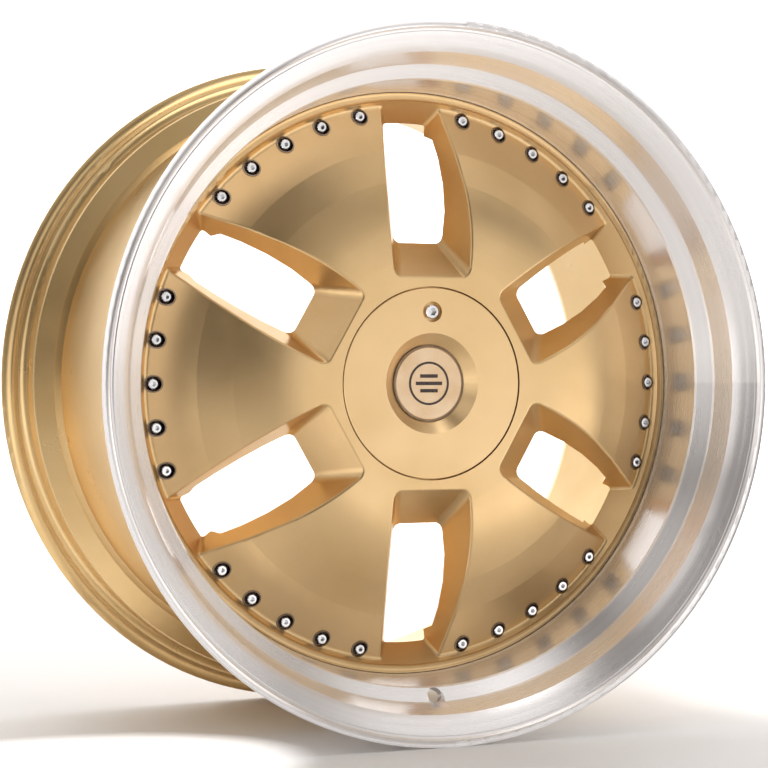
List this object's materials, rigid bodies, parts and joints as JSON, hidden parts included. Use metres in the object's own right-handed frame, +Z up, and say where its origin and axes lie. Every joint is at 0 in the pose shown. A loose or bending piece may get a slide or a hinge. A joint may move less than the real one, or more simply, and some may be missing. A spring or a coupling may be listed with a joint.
{
  "type": "wheel rim",
  "caption": "Deep-dish three-piece road and race wheel with a gold six-window centre, polished lip, ring of small bolts and a screw-held hub cover.",
  "frame": {"origin": "middle of the rim's width on the spin axis", "axes": "+Y along the spin axis towards the vehicle (rear), -Y towards the street face, +Z up with the lock screw at the top and the valve hole at the bottom"},
  "size_m": [0.522, 0.2866, 0.522],
  "materials": {
    "gold_centre": "satin gold lacquer over machined aluminium",
    "gold_cover": "satin gold lacquer",
    "gold_barrel": "satin gold lacquer",
    "polished_lip": "mirror-polished aluminium",
    "sealant": "cured sealant",
    "seat_steel": "turned steel",
    "ring_plastic": "glass-filled nylon",
    "bolt_chrome": "bright chrome",
    "cup_dark": "dark chrome",
    "washer_steel": "zinc plate",
    "nut_steel": "zinc plate",
    "insert_brass": "turned brass",
    "pin_steel": "ground steel",
    "seal_rubber": "black rubber",
    "screw_chrome": "bright chrome",
    "clip_steel": "blued spring steel",
    "cap_plastic": "lacquered plastic",
    "badge_champagne": "satin anodised disc",
    "mark_dark": "dark enamel",
    "wire_steel": "spring wire"
  },
  "bodies": {
    "wheel": {"wheel_centre": "gold_centre", "outer_rim_half": "polished_lip", "inner_rim_half": "gold_barrel", "rim_joint_sealant": "sealant", "lug_seat_inserts": "seat_steel", "hub_centring_ring": "ring_plastic", "assembly_bolts": "bolt_chrome", "bolt_cups": "cup_dark", "rear_washers": "washer_steel", "assembly_nuts": "nut_steel", "lock_screw_insert": "insert_brass", "cover_locating_pin": "pin_steel"},
    "cover": {"hub_cover": "gold_cover", "cover_seal_ring": "seal_rubber"},
    "lock_screw": {"cover_lock_screw": "screw_chrome", "lock_screw_clip": "clip_steel"},
    "cap": {"centre_cap": "cap_plastic", "cap_badge": "badge_champagne", "badge_mark": "mark_dark", "cap_spring_ring": "wire_steel"}
  },
  "joints": [
    {"name": "cover_lift", "type": "slide", "parent": "wheel", "child": "cover", "axis": [0, -1, 0], "range_m": [0, 0.06]},
    {"name": "lock_screw_turn", "type": "hinge", "parent": "cover", "child": "lock_screw", "pos_m": [0, -0.1, 0.0525], "axis": [0, -1, 0], "continuous": true},
    {"name": "cap_pull", "type": "slide", "parent": "cover", "child": "cap", "axis": [0, -1, 0], "range_m": [0, 0.03]}
  ]
}
